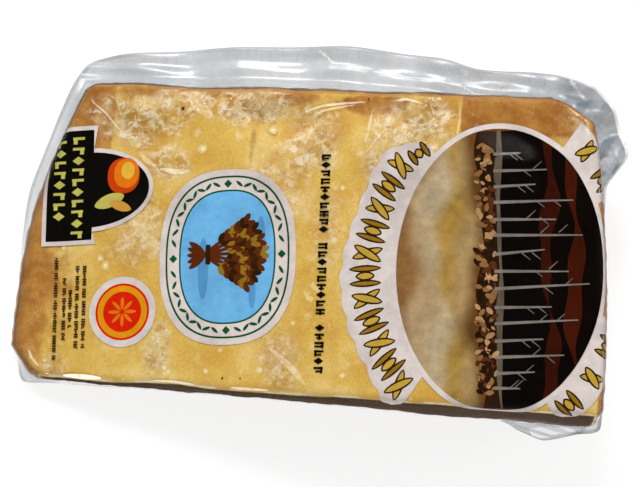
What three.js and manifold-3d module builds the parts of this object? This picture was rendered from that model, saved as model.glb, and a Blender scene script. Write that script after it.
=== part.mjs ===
// A wedge of hard granular cheese, sealed in a clear vacuum pouch whose seam margin stands out all round.
// It lies on one of its two broad cut faces. Millimetres, Z up: X runs from the wedge's thin tip to its
// thick heel, and Y from the saw cut through the middle of the wheel to the rind of the wheel's flat side.
// The origin is on the resting face, under the middle of the chunk.
import * as THREE from "three";
import { ImprovedNoise } from "three/addons/math/ImprovedNoise.js";
import { mergeVertices } from "three/addons/utils/BufferGeometryUtils.js";
import Module from "manifold-3d";

const { clamp, smoothstep } = THREE.MathUtils;

// The chunk
const CUT_Y = -53.5;
const RIND_Y = 56.5;
const TIP_X = -105;
const HEEL_X = 101;
const TIP_THICKNESS = 9;
const TAPER_DEG = 17.5;
const EDGE_RADIUS = 3.5;

// How its two ends depart from straight lines across the chunk, and how its sawn wall leans in downwards
const TIP_SWEEP = 16.5;
const TIP_SWEEP_FROM_Y = -25;
const TIP_SWEEP_POWER = 2.2;
const HEEL_CONVEXITY = 11.5;
const HEEL_LEAN = 1.5;
const HEEL_BARREL = 2;
const TIP_CHIP = { length: 9, width: 11 };
const HEEL_CHIP = { length: 11, width: 9 };
const CUT_LEAN = 0.035;

// Relief of the broad upper face, which fades out beside the tip and down the walls, and of the walls
const SWELL = { grain: 46, height: 0.7 };
const CRAG = { grain: 11, height: 1.5, fromY: 8, toY: 44 };
const TIP_FACET = { x: -72, slope: 0.07 };
const TIP_FADE = 14;
const FACE_FROM_HEIGHT_SHARE = 0.35;
const WALL = { grain: 24, height: 0.7, baseFade: 6 };
const SPLIT_STEP = { x: -25, width: 4, run: 20, height: 0.8, fromY: 14, toY: 50, fade: 8 };
const POCKETS = [
  { x: -11, y: 47, length: 10, width: 9, depth: 2.6 },
  { x: 17, y: 48, length: 15, width: 6, depth: 1.8 },
  { x: 38, y: 45, length: 10, width: 12, depth: 1.3 },
  { x: 70, y: 44, length: 21, width: 11, depth: 1.9 },
];
const POCKET_FLOOR_SHARE = 0.55;
const POCKET_RIM_SHARE = 1.05;

// The pouch's margin, seen from above
const MARGIN_THICKNESS = 0.8;
const MARGIN_STATIONS = 120;
const MARGIN_ROWS = [0.62, 0.8, 0.91, 1];
const RIPPLE = { height: 1.1, waves: 17, drift: 0.6, drifts: 5 };
const PUCKER = { height: 2.8, waves: 30, reach: 34 };
const PUCKERED_CORNERS = [
  [104, 50],
  [96, -57],
];
const MARGIN_OUTLINE = [
  [-100.5, -55],
  [-88, -55],
  [-40, -54.2],
  [40, -54.2],
  [70, -54.2],
  [78, -57],
  [87, -59.5],
  [97, -57],
  [106, -54],
  [105.6, -40],
  [103.5, -9],
  [101.3, 24],
  [102, 33],
  [107.5, 43],
  [104, 56],
  [95, 68],
  [79, 71.5],
  [52, 72],
  [38, 75],
  [2, 77],
  [-45, 73],
  [-88, 66],
  [-98, 47],
  [-106, 17],
  [-107, -7],
  [-105.5, -32],
  [-103.5, -47],
];

// Grid cells along the chunk, across it and up its walls, with this many of them in each rounded edge
const CELLS = [46, 30, 9];
const EDGE_CELLS = 2;

const noise = new ImprovedNoise();

// Two octaves of smooth noise, about -1 to 1, whose larger lumps are as wide as grain.
function lumps(a, b, grain) {
  return noise.noise(a / grain, b / grain, 0.5) + 0.5 * noise.noise((2 * a) / grain, (2 * b) / grain, 3.5);
}

// How far a chipped corner cuts an end back, at this distance from the side that the corner is on.
function chipAt(distance, chip) {
  return chip.length * clamp(1 - distance / chip.width, 0, 1);
}

// The tip sweeps back towards the flat rind, and its corner at the saw cut is broken off.
function tipAt(y) {
  const along = Math.max(0, (y - TIP_SWEEP_FROM_Y) / (RIND_Y - TIP_SWEEP_FROM_Y));
  return TIP_X + TIP_SWEEP * along ** TIP_SWEEP_POWER + chipAt(y - CUT_Y, TIP_CHIP);
}

// The heel is the wheel's convex side: furthest out at the saw cut, with its corner at the flat rind broken.
function heelAt(y) {
  const along = (y - CUT_Y) / (RIND_Y - CUT_Y);
  return HEEL_X - HEEL_CONVEXITY * along ** 2 - chipAt(RIND_Y - y, HEEL_CHIP);
}

function thicknessAt(x) {
  return TIP_THICKNESS + (x - TIP_X) * Math.tan(THREE.MathUtils.degToRad(TAPER_DEG));
}

// 1 in the middle of a pocket and 0 from its rim outwards.
function pocketShare(x, y, pocket) {
  const far = Math.hypot((x - pocket.x) / pocket.length, (y - pocket.y) / pocket.width);
  return 1 - smoothstep(far, POCKET_FLOOR_SHARE, POCKET_RIM_SHARE);
}

// Depth of the split step at x and y: it drops sharply along one line, and rises again slowly behind it.
function stepDepth(x, y) {
  const { x: from, width, run, height, fromY, toY, fade } = SPLIT_STEP;
  const across = smoothstep(y, fromY, fromY + fade) * (1 - smoothstep(y, toY - fade, toY));
  const along = smoothstep(x, from, from + width) * (1 - smoothstep(x, from + width, from + width + run));
  return height * across * along;
}

// Height of the upper face above its flat slope: swells, crags near the rind, a split step and pockets.
function reliefAt(x, y) {
  const swell = SWELL.height * lumps(x, y, SWELL.grain);
  const crags = CRAG.height * lumps(x, y, CRAG.grain) * smoothstep(y, CRAG.fromY, CRAG.toY);
  const facet = TIP_FACET.slope * Math.min(0, x - TIP_FACET.x);
  const pockets = POCKETS.reduce((sum, pocket) => sum + pocket.depth * pocketShare(x, y, pocket), 0);
  return swell + crags + facet - stepDepth(x, y) - pockets;
}

// Distance of grid line k of count along a side: the cells are small in the rounded edges, and even between.
function lineAt(k, count, length) {
  const edge = EDGE_RADIUS / EDGE_CELLS;
  if (k <= EDGE_CELLS) return k * edge;
  if (k >= count - EDGE_CELLS) return length - (count - k) * edge;
  return EDGE_RADIUS + ((k - EDGE_CELLS) / (count - 2 * EDGE_CELLS)) * (length - 2 * EDGE_RADIUS);
}

// The point of the chunk's skin for the grid lines i, j and k, with its edges rounded.
function onChunk([i, j, k]) {
  const y = CUT_Y + lineAt(j, CELLS[1], RIND_Y - CUT_Y);
  const [tip, heel] = [tipAt(y), heelAt(y)];
  const x = tip + lineAt(i, CELLS[0], heel - tip);
  const top = thicknessAt(x);
  const z = lineAt(k, CELLS[2], top);
  const square = new THREE.Vector3(x, y, z);
  const core = new THREE.Vector3(
    clamp(x, tip + EDGE_RADIUS, heel - EDGE_RADIUS),
    clamp(y, CUT_Y + EDGE_RADIUS, RIND_Y - EDGE_RADIUS),
    clamp(z, EDGE_RADIUS, top - EDGE_RADIUS),
  );
  const skin = square.sub(core).setLength(EDGE_RADIUS).add(core);
  const height = clamp(skin.z / top, 0, 1);
  skin.x += smoothstep(x, 0, heel) * (HEEL_LEAN * (1 - height) + HEEL_BARREL * 4 * height * (1 - height));
  const wallShare = (skin.y - core.y) / EDGE_RADIUS;
  skin.y += WALL.height * lumps(x, z, WALL.grain) * wallShare * smoothstep(z, 0, WALL.baseFade);
  skin.y += CUT_LEAN * (top - skin.z) * smoothstep(-y, -RIND_Y, -CUT_Y);
  const faceShare = smoothstep(height, FACE_FROM_HEIGHT_SHARE, 1) * smoothstep(x, tip, tip + TIP_FADE);
  skin.z += reliefAt(skin.x, skin.y) * faceShare;
  return skin;
}

// How many grid cells point i, j, k of the underside lies inside the rounded edges: 0 on the flat face's rim.
function cellsInBase([i, j, k]) {
  const inside = Math.min(i, CELLS[0] - i, j, CELLS[1] - j) - EDGE_CELLS;
  return k === 0 ? inside : -1;
}

// A box's grid bent into the chunk's skin, whose flat resting face is one polygon over its rim.
function chunkGeometry() {
  const box = new THREE.BoxGeometry(...CELLS, ...CELLS);
  box.deleteAttribute("normal");
  box.deleteAttribute("uv");
  const geometry = mergeVertices(box, 1e-4);
  const position = geometry.getAttribute("position");
  const grid = [];
  for (let v = 0; v < position.count; v += 1) {
    const lines = [position.getX(v), position.getY(v), position.getZ(v)];
    grid.push(lines.map((line, side) => Math.round(line + CELLS[side] / 2)));
    const skin = onChunk(grid[v]);
    position.setXYZ(v, skin.x, skin.y, skin.z);
  }
  const index = [];
  const triangles = geometry.index.array;
  for (let t = 0; t < triangles.length; t += 3) {
    const corners = [...triangles.slice(t, t + 3)];
    if (corners.some((v) => cellsInBase(grid[v]) < 0)) index.push(...corners);
  }
  const turn = (v) => Math.atan2(grid[v][1] / CELLS[1] - 0.5, grid[v][0] / CELLS[0] - 0.5);
  const rim = [...grid.keys()].filter((v) => cellsInBase(grid[v]) === 0).sort((a, b) => turn(a) - turn(b));
  const contour = rim.map((v) => new THREE.Vector2(position.getX(v), position.getY(v)));
  for (const [a, b, c] of THREE.ShapeUtils.triangulateShape(contour, [])) {
    index.push(rim[a], rim[c], rim[b]);
  }
  geometry.setIndex(index);
  return geometry;
}

// Height of the margin: it leaves the walls half way up, ripples, and puckers at two corners.
function marginHeight(x, y, station, out) {
  const turn = (station / MARGIN_STATIONS) * 2 * Math.PI;
  const nearest = Math.min(...PUCKERED_CORNERS.map(([cx, cy]) => Math.hypot(x - cx, y - cy)));
  const pucker = PUCKER.height * (1 - smoothstep(nearest, 0, PUCKER.reach)) * Math.sin(PUCKER.waves * turn);
  const drift = RIPPLE.drift * Math.sin(RIPPLE.drifts * turn);
  const ripple = RIPPLE.height * Math.sin(RIPPLE.waves * turn + drift);
  const seam = thicknessAt(clamp(x, TIP_X, HEEL_X)) / 2;
  return seam + out * (ripple + pucker);
}

// The margin is a thin plate that follows its outline, and reaches inwards far enough to join the chunk.
function marginGeometry() {
  const corners = MARGIN_OUTLINE.map(([x, y]) => new THREE.Vector3(x, y, 0));
  const curve = new THREE.CatmullRomCurve3(corners, true, "catmullrom", 0.35);
  const outline = curve.getSpacedPoints(MARGIN_STATIONS);
  const rows = MARGIN_ROWS.length;
  const position = [];
  for (let station = 0; station < MARGIN_STATIONS; station += 1) {
    const section = MARGIN_ROWS.map((share) => {
      const [x, y] = [outline[station].x * share, outline[station].y * share];
      return [x, y, marginHeight(x, y, station, smoothstep(share, MARGIN_ROWS[0], 1))];
    });
    section.forEach(([x, y, z]) => position.push(x, y, z + MARGIN_THICKNESS / 2));
    section.reverse().forEach(([x, y, z]) => position.push(x, y, z - MARGIN_THICKNESS / 2));
  }
  const index = [];
  for (let station = 0; station < MARGIN_STATIONS; station += 1) {
    const here = station * 2 * rows;
    const next = ((station + 1) % MARGIN_STATIONS) * 2 * rows;
    for (let k = 0; k < 2 * rows; k += 1) {
      const k1 = (k + 1) % (2 * rows);
      index.push(here + k, here + k1, next + k, here + k1, next + k1, next + k);
    }
  }
  const geometry = new THREE.BufferGeometry();
  geometry.setAttribute("position", new THREE.Float32BufferAttribute(position, 3));
  geometry.setIndex(index);
  return geometry;
}

const wasm = await Module();
wasm.setup();

function solidOf(geometry) {
  return new wasm.Manifold(
    new wasm.Mesh({
      numProp: 3,
      vertProperties: geometry.getAttribute("position").array,
      triVerts: new Uint32Array(geometry.index.array),
    }),
  );
}

function geometryOf(solid) {
  const { vertProperties, triVerts } = solid.getMesh();
  const geometry = new THREE.BufferGeometry();
  geometry.setAttribute("position", new THREE.BufferAttribute(vertProperties, 3));
  geometry.setIndex(new THREE.BufferAttribute(triVerts, 1));
  geometry.computeVertexNormals();
  return geometry;
}

function sealedPouch() {
  const solid = solidOf(chunkGeometry()).add(solidOf(marginGeometry()));
  const material = new THREE.MeshStandardMaterial({ color: "#d6b063", roughness: 0.3, metalness: 0 });
  const mesh = new THREE.Mesh(geometryOf(solid), material);
  mesh.name = "sealed_pouch";
  return mesh;
}

const part = new THREE.Group();
part.add(sealedPouch());

export default part;
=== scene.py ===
import math

import bpy
import numpy as np
from mathutils import Matrix, Vector, geometry, noise
from mathutils.bvhtree import BVHTree


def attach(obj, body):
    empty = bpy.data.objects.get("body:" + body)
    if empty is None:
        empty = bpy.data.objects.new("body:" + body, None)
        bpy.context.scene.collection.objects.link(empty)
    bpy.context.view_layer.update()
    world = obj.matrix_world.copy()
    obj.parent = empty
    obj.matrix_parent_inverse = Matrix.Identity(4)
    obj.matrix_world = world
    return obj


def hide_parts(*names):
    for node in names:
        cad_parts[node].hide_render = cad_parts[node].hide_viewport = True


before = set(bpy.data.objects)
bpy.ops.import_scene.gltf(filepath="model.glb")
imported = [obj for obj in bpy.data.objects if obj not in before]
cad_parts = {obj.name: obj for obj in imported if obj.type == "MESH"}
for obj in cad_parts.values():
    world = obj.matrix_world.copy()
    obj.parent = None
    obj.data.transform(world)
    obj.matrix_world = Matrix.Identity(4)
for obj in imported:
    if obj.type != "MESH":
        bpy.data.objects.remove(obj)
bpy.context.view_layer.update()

MM = 0.001
NODE = "sealed_pouch"
RNG = np.random.default_rng(7)

# The chunk, as in the part's source
CUT_Y = -53.5
RIND_Y = 56.5
TIP_X = -105.0
HEEL_X = 101.0
TIP_THICKNESS = 9.0
TAPER = math.radians(17.5)
EDGE_RADIUS = 3.5
TIP_SWEEP = 16.5
TIP_SWEEP_FROM_Y = -25.0
TIP_SWEEP_POWER = 2.2
HEEL_CONVEXITY = 11.5
HEEL_LEAN = 1.5
HEEL_BARREL = 2.0
TIP_CHIP = (9.0, 11.0)
HEEL_CHIP = (11.0, 9.0)
CUT_LEAN = 0.035
FACE_FROM_HEIGHT_SHARE = 0.35
WALL_GRAIN = 24.0
WALL_HEIGHT = 0.7
WALL_BASE_FADE = 6.0
# How far the walls stand out half way up, where the seam is: past the thin tip, and past the saw cut
TIP_SWELL = 1.4
CUT_SWELL = 0.6
TIP_SWELL_ENDS_Y = 38.0

# The pouch's margin, as in the part's source
RIPPLE_HEIGHT = 1.1
RIPPLE_WAVES = 17
RIPPLE_DRIFT = 0.6
RIPPLE_DRIFTS = 5
PUCKER_HEIGHT = 2.8
PUCKER_WAVES = 30
PUCKER_REACH = 34.0
PUCKERED_CORNERS = [(104, 50), (96, -57)]
# Folds where it is crumpled: each one's direction in degrees, width from crease to crease and depth
CRUMPLES = [(25, 13, 0.9), (68, 9, 0.65), (112, 16, 0.9), (158, 7, 0.4)]
MARGIN_INNER_SHARE = 0.62
MARGIN_TENSION = 0.35
MARGIN_OUTLINE = [
    (-100.5, -55), (-88, -55), (-40, -54.2), (40, -54.2), (70, -54.2), (78, -57), (87, -59.5), (97, -57),
    (106, -54), (105.6, -40), (103.5, -9), (101.3, 24), (102, 33), (107.5, 43), (104, 56), (95, 68),
    (79, 71.5), (52, 72), (38, 75), (2, 77), (-45, 73), (-88, 66), (-98, 47), (-106, 17), (-107, -7),
    (-105.5, -32), (-103.5, -47),
]
# The margin's film: half the gap between its two sheets, the tent in which they part at the chunk's walls,
# its soft folds, the sealed strip at its edge, and how far round a puckered corner it is crumpled, and how
# far it is cloudy and painted darker on some facets as painted shade
FILM_HALF_GAP = 0.12
TENT_HEIGHT = 8.0
TENT_REACH = 9.0
FOLD_HEIGHT = 0.4
SEALED_WIDTH = 1.6
CRUMPLED_REACH = (14, 42)
CORNER_REACH = (14, 46)

# Depths under the film, which is the outside of the solid
CHEESE_DEPTH = 0.6
PRINT_DEPTH = 0.38
INK_STEP = 0.03
BASE_DEPTH = 0.5

# Fine grids
CHEESE_CELLS = (300, 165, 44)
FILM_CELLS = (230, 130, 36)
EDGE_CELLS = 4
MARGIN_STATIONS = 960
MARGIN_ROWS = 26
FIELD_STEP = 0.5
RIBBON_POINTS = 14

# How the solid's relief is read: how far inside its rounded edge, from how high up, and how wide its
# facets are
EDGE_CLEARANCE = 0.6
WELL_ABOVE = 200.0
SOLID_FACET = 1.4
# How wide a pit the film bridges, how soft the bridge is, and how far it may sink into the cheese
FILM_BRIDGES = 3.0
BRIDGE_SOFTNESS = 2.6
FILM_SINKS = 0.15

# Where the upper face is broken rather than cut: x, y, half length, half width and strength of each patch
CRUMBLY = [
    (-67, 42, 14, 10, 1.0), (-80, 46, 9, 6, 0.6), (-52, 50, 13, 6, 0.95), (-30, 49, 18, 7, 0.95),
    (-5, 38, 9, 14, 0.9), (-55, 27, 8, 8, 0.75), (-14, 22, 13, 15, 0.5), (18, 33, 5, 16, 0.6),
    (31, 44, 11, 11, 1.0), (88, 49, 8, 6, 0.5), (-63, -4, 12, 8, 0.4), (-52, -42, 5, 12, 0.6),
    (-8, -42, 8, 11, 0.5), (-89, -49, 5, 5, 0.5), (4, 4, 5, 14, 0.4), (-46, 12, 7, 8, 0.4),
    (-63, 3, 9, 12, 0.5), (30, 22, 5, 9, 0.45),
]
# Where it is a darker, waxier amber: the same five numbers
AMBER = [
    (-97, 30, 14, 26, 0.8), (-102, -18, 15, 44, 0.8), (-50, 54, 46, 4.5, 0.75), (17, 51, 13, 4, 1.3),
    (88, 44, 12, 10, 0.5), (40, 52, 14, 6, 0.5), (-12, 53, 14, 4, 0.75), (-85, 45, 10, 8, 0.6),
    (-4, -50, 16, 3, 0.3), (2, 44, 7, 12, 0.35), (-32, 48, 12, 5, 0.5), (-25.5, 33, 1.2, 9, 0.5),
]
# The broad facets by the heel and by the tip, coloured a darker orange: partly the cheese's own amber, partly
# painted shade, as the heel's facet is sunk and the tip's turned away.
# For each: lowest and highest x, the y they start from, how soft each of their two ends is, and their
# strength
FACETS = [(46.5, 84.0, 43.5, 0.5, 9, 1.25), (-110.0, -78.0, 30.0, 1, 1.5, 0.85)]
# Grains of tyrosine, dark specks and a pale spot: x, y and radius of each, and how many crumbs lie between
CRYSTALS = [
    (-43.2, 32.7, 0.9), (-74.2, -11.7, 0.8), (-76.4, -9.2, 0.6), (-9.0, 10.5, 0.7), (-48.5, -47.0, 0.8),
    (-46.8, -48.4, 0.6), (-92.5, -47.5, 0.5), (-33.5, -47.2, 0.5), (8.0, 20.5, 0.5), (-18.8, 40.6, 0.9),
]
SPECKS = [
    (-21.1, -48.8, 0.35), (-27.4, -49.3, 0.5), (14.0, 53.0, 0.4), (17.4, -22.3, 0.35), (-52.1, 47.2, 0.8),
]
PALE_SPOT = (0.9, -17.0, 3.5)
CRUMBS = 90

# Pale creases in the film over the face, which also glow a little as painted highlights, and pale streaks in
# the margin, which are painted highlights: points along each, half width, strength
FACE_CREASES_AND_HIGHLIGHTS = [
    ([(-86, 48.5), (-80.5, 44.5), (-74.6, 38.3)], 0.35, 0.3),
    ([(-8, 47.5), (-3, 49.6), (6, 51), (13, 51.8)], 0.4, 0.4), ([(-5, 47), (2, 49), (9.5, 50.6)], 0.4, 0.3),
    ([(23.5, 52.4), (27, 53), (32.5, 51.6)], 0.4, 0.45), ([(15.6, 49), (15.2, 43), (14.2, 37)], 0.5, 0.2),
    ([(20.5, 42), (17, 37), (14.5, 33)], 0.4, 0.15), ([(-12, -37.5), (-4, -43.5), (1.7, -49.5)], 1.1, 0.18),
    ([(-66, 30), (-63.5, 27.4), (-60, 25.5)], 0.9, 0.22),
    ([(-58, 24.6), (-52, 23.6), (-46.5, 24.4)], 0.9, 0.3),
    ([(45.6, 52.5), (45.9, 46), (45.4, 40)], 0.4, 0.2),
    # The next three lines run along the face's lower edge: painted highlights, not creases.
    ([(-85, -52.4), (-78, -52.3), (-71, -52.2)], 0.9, 1.0),
    ([(-52, -52.2), (-44, -52.2), (-37, -52.4)], 0.5, 0.6),
    ([(-24, -52.2), (-17, -52.3), (-11, -52.2)], 0.5, 0.55),
    ([(-99, -44), (-97.5, -47), (-94.5, -49.8)], 0.5, 0.35),
]
MARGIN_HIGHLIGHT_STREAKS = [
    ([(-5, 75.2), (0, 71), (12, 69.5), (25, 67.8), (47, 65.5), (52.3, 62.9)], 0.8, 1.0),
    ([(-20, 74), (-10, 74.6), (-2, 73.8)], 1.8, 0.8), ([(2.8, 69.7), (12, 69), (21, 67.9)], 1.6, 0.7),
    ([(-50, 61.4), (-20, 62.6), (3.5, 63)], 0.8, 0.8),
    ([(-52, 59), (-10, 60), (40, 60), (60, 59.5)], 0.6, 0.8), ([(35, 74), (48, 69), (61, 64.6)], 0.7, 0.7),
    ([(49.8, 70.5), (75, 62), (97.4, 52.3)], 0.8, 0.7), ([(86, 69.2), (91, 65)], 1.6, 0.9),
    ([(103.8, 62), (100, 57)], 1.6, 0.7), ([(100, 41), (107, 40)], 0.6, 0.8),
    ([(-95, 58), (-98.3, 48.2)], 0.7, 0.6), ([(45, -55.6), (58, -55), (78, -57.5)], 0.7, 0.7),
    ([(72, -54.6), (90, -58), (106, -54)], 0.6, 0.8), ([(84, -54.4), (93, -56.2), (97, -58)], 0.9, 0.7),
    ([(99, -53.6), (101, -56), (104, -57)], 1.0, 0.7), ([(97, 63), (101, 55), (103, 46)], 0.5, 0.7),
    ([(62, 70.5), (74, 66.5), (88, 58.5)], 0.5, 0.6), ([(78, 70), (84, 64), (93, 60)], 0.5, 0.6),
    ([(91, 68), (95.5, 60), (101, 52), (104, 47)], 0.45, 0.6),
    ([(-84, 62.5), (-50, 66), (-22, 69)], 0.6, 0.5),
]


def smoothstep(value, low, high):
    t = np.clip((value - low) / (high - low), 0, 1)
    return t * t * (3 - 2 * t)


def noise_at(x, y, grain, seed):
    """Smooth noise of about -1 to 1 over arrays x and y, whose lumps are as wide as grain."""
    x, y = np.broadcast_arrays(x, y)
    flat = zip(np.ravel(x) / grain, np.ravel(y) / grain)
    return np.array([noise.noise((a, b, seed)) for a, b in flat]).reshape(x.shape)


def lumps(x, y, grain, seed=0.5):
    """Noise with half as much noise on it whose lumps are half as wide."""
    return noise_at(x, y, grain, seed) + 0.5 * noise_at(x, y, grain / 2, seed + 3)


# The chunk's form

def tip_at(y):
    """Where the tip's wall stands, as x."""
    along = np.maximum(0, (y - TIP_SWEEP_FROM_Y) / (RIND_Y - TIP_SWEEP_FROM_Y))
    length, width = TIP_CHIP
    return TIP_X + TIP_SWEEP * along ** TIP_SWEEP_POWER + length * np.clip(1 - (y - CUT_Y) / width, 0, 1)


def heel_at(y):
    """Where the heel's wall stands, as x."""
    along = (y - CUT_Y) / (RIND_Y - CUT_Y)
    length, width = HEEL_CHIP
    return HEEL_X - HEEL_CONVEXITY * along ** 2 - length * np.clip(1 - (RIND_Y - y) / width, 0, 1)


def thickness_at(x):
    """How high the plain slope of the upper face is."""
    return TIP_THICKNESS + (x - TIP_X) * math.tan(TAPER)


def bend(core, out, radius, x, y, z, relief):
    """Points radius away from core towards out, with the walls' lean and swell and the face's relief."""
    top = thickness_at(x)
    skin = core + out * np.reshape(radius, (-1, 1))
    height = np.clip(skin[:, 2] / top, 0, 1)
    lift = sample(relief, skin[:, 0], skin[:, 1]) * smoothstep(height, FACE_FROM_HEIGHT_SHARE, 1)
    lean = HEEL_LEAN * (1 - height) + HEEL_BARREL * 4 * height * (1 - height)
    wall = WALL_HEIGHT * lumps(x, z, WALL_GRAIN) * out[:, 1] * smoothstep(z, 0, WALL_BASE_FADE)
    sawn = CUT_LEAN * (top - skin[:, 2]) * smoothstep(-y, -RIND_Y, -CUT_Y)
    belly = np.sin(math.pi * height)
    tip_swell = TIP_SWELL * np.clip(-out[:, 0], 0, 1) * (1 - smoothstep(y, 0, TIP_SWELL_ENDS_Y))
    cut_swell = (CUT_SWELL + CUT_LEAN * top / 2) * np.clip(-out[:, 1], 0, 1)
    across = smoothstep(x, 0, HEEL_X) * lean - belly * tip_swell
    return skin + np.stack([across, wall + sawn - belly * cut_swell, lift], 1)


# Fields over the upper face, seen from above

FIELD_X = np.arange(-112, 112, FIELD_STEP)
FIELD_Y = np.arange(-64, 66, FIELD_STEP)
GRID_X, GRID_Y = np.meshgrid(FIELD_X, FIELD_Y, indexing="ij")


def sample(field, x, y):
    """The field's values at places between its grid points."""
    u = np.clip((x - FIELD_X[0]) / FIELD_STEP, 0, len(FIELD_X) - 1.001)
    v = np.clip((y - FIELD_Y[0]) / FIELD_STEP, 0, len(FIELD_Y) - 1.001)
    i, j = u.astype(int), v.astype(int)
    a, b = u - i, v - j
    near = field[i, j] * (1 - b) + field[i, j + 1] * b
    far = field[i + 1, j] * (1 - b) + field[i + 1, j + 1] * b
    return near * (1 - a) + far * a


def blur(field, reach):
    """The field with its detail finer than reach smoothed away."""
    half = int(3 * reach / FIELD_STEP)
    kernel = np.exp(-0.5 * (np.arange(-half, half + 1) * FIELD_STEP / reach) ** 2)
    kernel /= kernel.sum()
    for axis in (0, 1):
        padding = [(half, half) if side == axis else (0, 0) for side in (0, 1)]
        padded = np.pad(field, padding, mode="edge")
        field = np.apply_along_axis(np.convolve, axis, padded, kernel, "valid")
    return field


def widen(field, reach):
    """The field's peaks widened by reach, as a sheet laid over them bridges what is between."""
    for _ in range(int(reach / FIELD_STEP)):
        padded = np.pad(field, 1, mode="edge")
        field = np.maximum.reduce([field, padded[2:, 1:-1], padded[:-2, 1:-1], padded[1:-1, 2:],
                                   padded[1:-1, :-2]])
    return field


def patches(spots):
    """The strongest of soft oval patches at each grid point. The patches' rims are ragged."""
    total = np.zeros_like(GRID_X)
    ragged = 0.35 * lumps(GRID_X, GRID_Y, 9, 11.0) + 0.2 * noise_at(GRID_X, GRID_Y, 2.5, 12.0)
    for x, y, length, width, strength in spots:
        far = np.hypot((GRID_X - x) / length, (GRID_Y - y) / width)
        total = np.maximum(total, strength * (1 - smoothstep(far + ragged, 0.5, 1.25)))
    return total


def solid_relief():
    """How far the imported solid's upper face stands above its plain slope, seen from straight above."""
    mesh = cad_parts[NODE].data
    tree = BVHTree.FromPolygons([v.co / MM for v in mesh.vertices], [p.vertices for p in mesh.polygons])
    inset = EDGE_RADIUS + EDGE_CLEARANCE
    y = np.clip(GRID_Y, CUT_Y + inset, RIND_Y - inset)
    x = np.clip(GRID_X, tip_at(y) + inset, heel_at(y) - inset)
    down = Vector((0, 0, -1))
    hits = [tree.ray_cast(Vector((a, b, WELL_ABOVE)), down)[0].z for a, b in zip(x.ravel(), y.ravel())]
    return blur(np.array(hits).reshape(x.shape) - thickness_at(x), SOLID_FACET)


BASE_RELIEF = solid_relief()
CRUMB = patches(CRUMBLY)


def facet_share(low, high, from_y, soft_low, soft_high, strength):
    """The strength on a broad facet that starts at from_y, and 0 off it, with its two ends soft or sharp."""
    ragged = GRID_Y + 1.2 * noise_at(GRID_X, GRID_Y, 6, 13.0)
    ends = smoothstep(GRID_X, low - soft_low, low + soft_low) * smoothstep(-GRID_X, -high - soft_high, -high)
    return strength * ends * smoothstep(ragged, from_y - 4, from_y + 1)


AMBER_SHARE = np.maximum.reduce([patches(AMBER)] + [facet_share(*facet) for facet in FACETS])


def cheese_relief():
    """The solid's relief with broken grains, pits and faint cutting ribs on it."""
    grains = 0.5 - np.abs(noise_at(GRID_X, GRID_Y, 3.2, 21.0)) * 2.2
    fine = noise_at(GRID_X, GRID_Y, 1.5, 22.0)
    pits = smoothstep(lumps(GRID_X, GRID_Y, 6.5, 23.0), 0.25, 0.6)
    ribs = noise_at(GRID_X, GRID_Y / 9, 3.5, 24.0)
    broken = CRUMB * (0.32 * grains + 0.25 * fine - 0.6 * pits)
    return BASE_RELIEF + broken + 0.06 * ribs - 0.5 * AMBER_SHARE * smoothstep(GRID_Y, 20, 40)


CHEESE_RELIEF = cheese_relief()


def film_relief():
    """The film's height over the solid's plain slope: it bridges pits, and has a few fine creases."""
    bridge = blur(widen(CHEESE_RELIEF, FILM_BRIDGES), BRIDGE_SOFTNESS)
    wrinkles = 0.07 * noise_at(GRID_X, GRID_Y, 5, 31.0) + 0.12 * CRUMB * noise_at(GRID_X, GRID_Y, 2.2, 32.0)
    return np.maximum(bridge, CHEESE_RELIEF - FILM_SINKS) + wrinkles


FILM_RELIEF = film_relief()


# Grids and meshes

def line_at(k, count, length):
    """Distance of grid line k along a side of count cells, which are small in the rounded edges."""
    edge = EDGE_RADIUS / EDGE_CELLS
    even = EDGE_RADIUS + (k - EDGE_CELLS) / (count - 2 * EDGE_CELLS) * (length - 2 * EDGE_RADIUS)
    even = np.where(k >= count - EDGE_CELLS, length - (count - k) * edge, even)
    return np.where(k <= EDGE_CELLS, k * edge, even)


def box_grid(cells):
    """The grid points on the surface of a box of cells, and the quads between them, which face out."""
    points, quads, start = [], [], 0
    for axis in range(3):
        across, along = (axis + 1) % 3, (axis + 2) % 3
        for far in (0, 1):
            u, v = np.meshgrid(np.arange(cells[across] + 1), np.arange(cells[along] + 1), indexing="ij")
            side = np.zeros((u.size, 3), int)
            side[:, axis] = cells[axis] * far
            side[:, across] = u.ravel()
            side[:, along] = v.ravel()
            index = start + np.arange(u.size).reshape(u.shape)
            quad = np.stack([index[:-1, :-1], index[1:, :-1], index[1:, 1:], index[:-1, 1:]], -1)
            quads.append(quad.reshape(-1, 4)[:, ::1 if far else -1])
            points.append(side)
            start += u.size
    points, merged = np.unique(np.concatenate(points), axis=0, return_inverse=True)
    return points, np.ravel(merged)[np.concatenate(quads)]


def open_base(grid, quads, cells):
    """Leaves out the flat middle of the underside, and gives the rim round it, in order, to be one face."""
    x, y, z = grid.T
    inset = np.minimum.reduce([x, cells[0] - x, y, cells[1] - y]) - EDGE_CELLS
    inset = np.where(z == 0, inset, -1)
    kept = quads[(inset[quads] < 0).any(axis=1)]
    rim = np.flatnonzero(inset == 0)
    turn = np.arctan2(y[rim] / cells[1] - 0.5, x[rim] / cells[0] - 0.5)
    return kept, rim[np.argsort(-turn)]


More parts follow.
